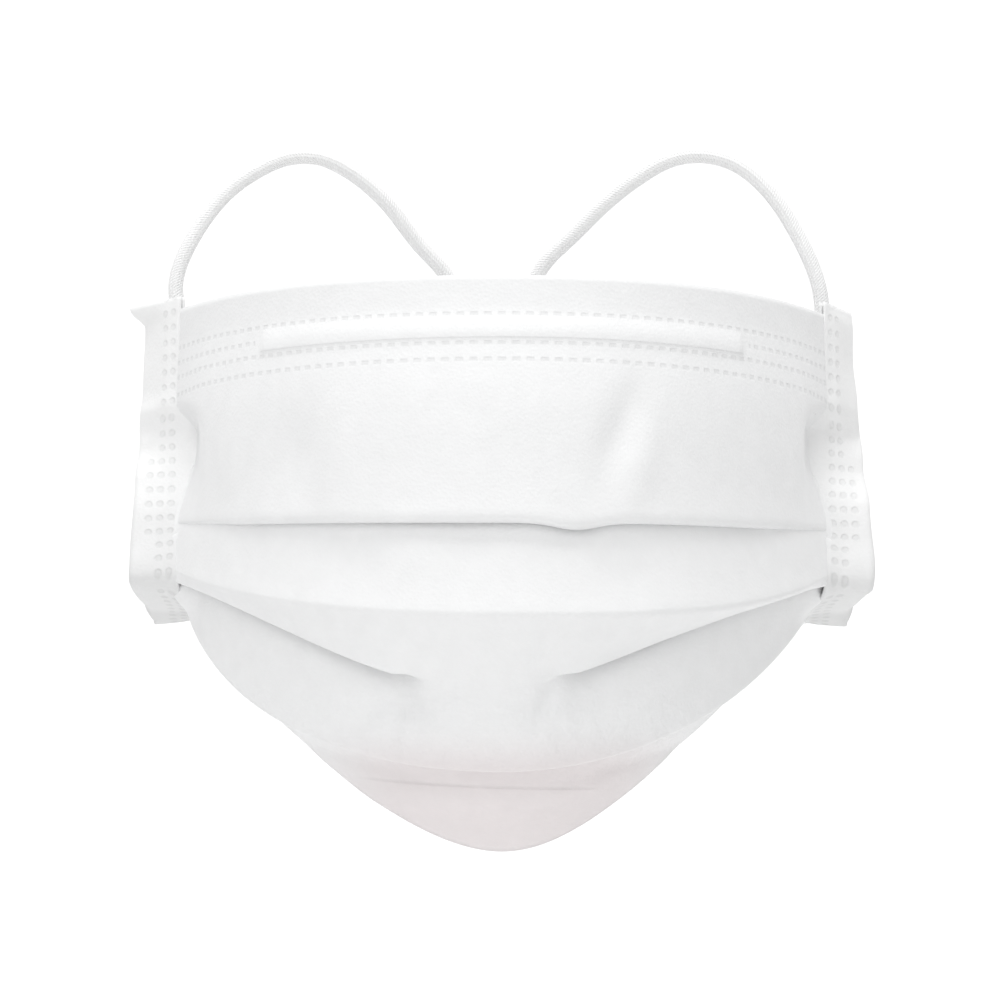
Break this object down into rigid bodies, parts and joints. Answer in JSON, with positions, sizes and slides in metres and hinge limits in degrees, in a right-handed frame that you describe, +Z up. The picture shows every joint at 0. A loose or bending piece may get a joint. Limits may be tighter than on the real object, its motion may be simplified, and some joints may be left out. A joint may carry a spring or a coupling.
{
  "type": "surgical face mask",
  "caption": "Disposable pleated face mask of nonwoven cloth, opened to its worn shape, with a nose wire in the top hem, folded side bands and round elastic ear loops",
  "frame": {"origin": "the middle of the top edge, where the mask sits on the bridge of the nose", "axes": "+X across the face, to the right of a viewer who looks at the outer face; -Y is the way the outer face looks; +Z up"},
  "size_m": [0.1378, 0.0855, 0.1288],
  "materials": {
    "nonwoven": "matte",
    "lining": "matte",
    "binding": "matte",
    "wire": "matte",
    "elastic": "matte"
  },
  "bodies": {
    "root": {"pleated_body": "nonwoven", "top_hem": "lining", "bottom_hem": "lining", "nose_wire": "wire", "side_band_left": "binding", "side_band_right": "binding", "ear_loop_left": "elastic", "ear_loop_right": "elastic"}
  },
  "joints": []
}
